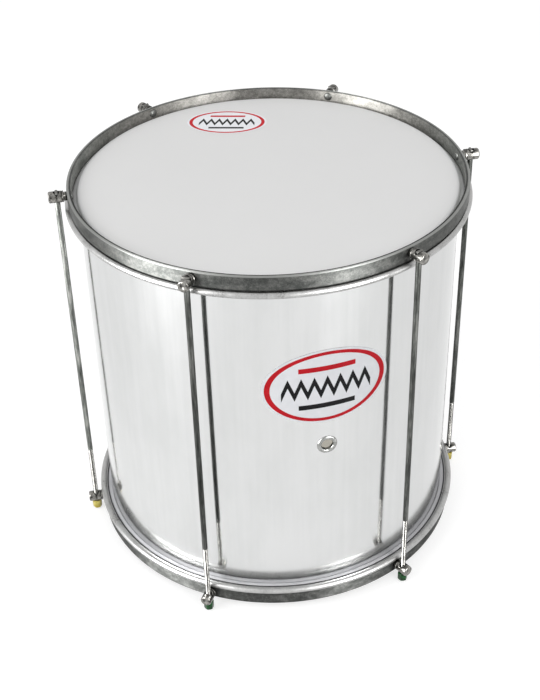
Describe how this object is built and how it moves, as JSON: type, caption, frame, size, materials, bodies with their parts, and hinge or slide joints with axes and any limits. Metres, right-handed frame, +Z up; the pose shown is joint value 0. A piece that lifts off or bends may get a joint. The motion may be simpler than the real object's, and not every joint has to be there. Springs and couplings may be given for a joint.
{
  "type": "surdo drum",
  "caption": "Cylindrical two-headed samba bass drum with metal shell, counter hoops, tension rods and tuning nuts.",
  "frame": {"origin": "on the drum's axis, in the plane of the six rod tips that it stands on", "axes": "+Z up along the drum's axis; -Y towards the front, where the vent and the label are; +X to the right"},
  "size_m": [0.4608, 0.439, 0.441],
  "materials": {
    "shell_aluminium": "bright, faintly brushed",
    "flesh_hoop_aluminium": "bright, slightly rough",
    "hoop_galvanised_steel": "mottled grey zinc",
    "stud_steel": "turned, worn",
    "rod_steel": "dull zinc, bright on the thread",
    "head_milky_film": "satin milky white",
    "eyelet_nickel_plate": "satin",
    "nut_green": "glossy",
    "nut_yellow": "glossy",
    "label_white_vinyl": "satin"
  },
  "bodies": {
    "drum": {"shell": "shell_aluminium", "top_head_film": "head_milky_film", "bottom_head_film": "head_milky_film", "top_flesh_hoop": "flesh_hoop_aluminium", "bottom_flesh_hoop": "flesh_hoop_aluminium", "bottom_counter_hoop": "hoop_galvanised_steel", "vent_eyelet": "eyelet_nickel_plate", "vent_washer": "eyelet_nickel_plate", "shell_label": "label_white_vinyl", "bottom_stud_right": "stud_steel", "bottom_stud_back_right": "stud_steel", "bottom_stud_back_left": "stud_steel", "bottom_stud_left": "stud_steel", "bottom_stud_front_left": "stud_steel", "bottom_stud_front_right": "stud_steel"},
    "top_ring": {"top_counter_hoop": "hoop_galvanised_steel", "top_stud_right": "stud_steel", "top_stud_back_right": "stud_steel", "top_stud_back_left": "stud_steel", "top_stud_left": "stud_steel", "top_stud_front_left": "stud_steel", "top_stud_front_right": "stud_steel", "tension_rod_right": "rod_steel", "tension_rod_back_right": "rod_steel", "tension_rod_back_left": "rod_steel", "tension_rod_left": "rod_steel", "tension_rod_front_left": "rod_steel", "tension_rod_front_right": "rod_steel"},
    "nut_right": {"tuning_nut_right": "nut_yellow"},
    "nut_back_right": {"tuning_nut_back_right": "nut_green"},
    "nut_back_left": {"tuning_nut_back_left": "nut_green"},
    "nut_left": {"tuning_nut_left": "nut_yellow"},
    "nut_front_left": {"tuning_nut_front_left": "nut_green"},
    "nut_front_right": {"tuning_nut_front_right": "nut_green"}
  },
  "joints": [
    {"name": "top_hoop_lift", "type": "slide", "parent": "drum", "child": "top_ring", "axis": [0, 0, 1], "range_m": [0, 0.008]},
    {"name": "nut_right_turn", "type": "hinge", "parent": "drum", "child": "nut_right", "pos_m": [0.22099, 0.03658, 0.007], "axis": [0, 0, -1], "range_deg": [0, 2880]},
    {"name": "nut_back_right_turn", "type": "hinge", "parent": "drum", "child": "nut_back_right", "pos_m": [0.07881, 0.20968, 0.007], "axis": [0, 0, -1], "range_deg": [0, 2880]},
    {"name": "nut_back_left_turn", "type": "hinge", "parent": "drum", "child": "nut_back_left", "pos_m": [-0.14218, 0.17309, 0.007], "axis": [0, 0, -1], "range_deg": [0, 2880]},
    {"name": "nut_left_turn", "type": "hinge", "parent": "drum", "child": "nut_left", "pos_m": [-0.22099, -0.03658, 0.007], "axis": [0, 0, -1], "range_deg": [0, 2880]},
    {"name": "nut_front_left_turn", "type": "hinge", "parent": "drum", "child": "nut_front_left", "pos_m": [-0.07881, -0.20968, 0.007], "axis": [0, 0, -1], "range_deg": [0, 2880]},
    {"name": "nut_front_right_turn", "type": "hinge", "parent": "drum", "child": "nut_front_right", "pos_m": [0.14218, -0.17309, 0.007], "axis": [0, 0, -1], "range_deg": [0, 2880]}
  ],
  "couplings": [
    {"joint": "nut_right_turn", "follows": "top_hoop_lift", "rad_per_m": 6283.2},
    {"joint": "nut_back_right_turn", "follows": "top_hoop_lift", "rad_per_m": 6283.2},
    {"joint": "nut_back_left_turn", "follows": "top_hoop_lift", "rad_per_m": 6283.2},
    {"joint": "nut_left_turn", "follows": "top_hoop_lift", "rad_per_m": 6283.2},
    {"joint": "nut_front_left_turn", "follows": "top_hoop_lift", "rad_per_m": 6283.2},
    {"joint": "nut_front_right_turn", "follows": "top_hoop_lift", "rad_per_m": 6283.2}
  ]
}
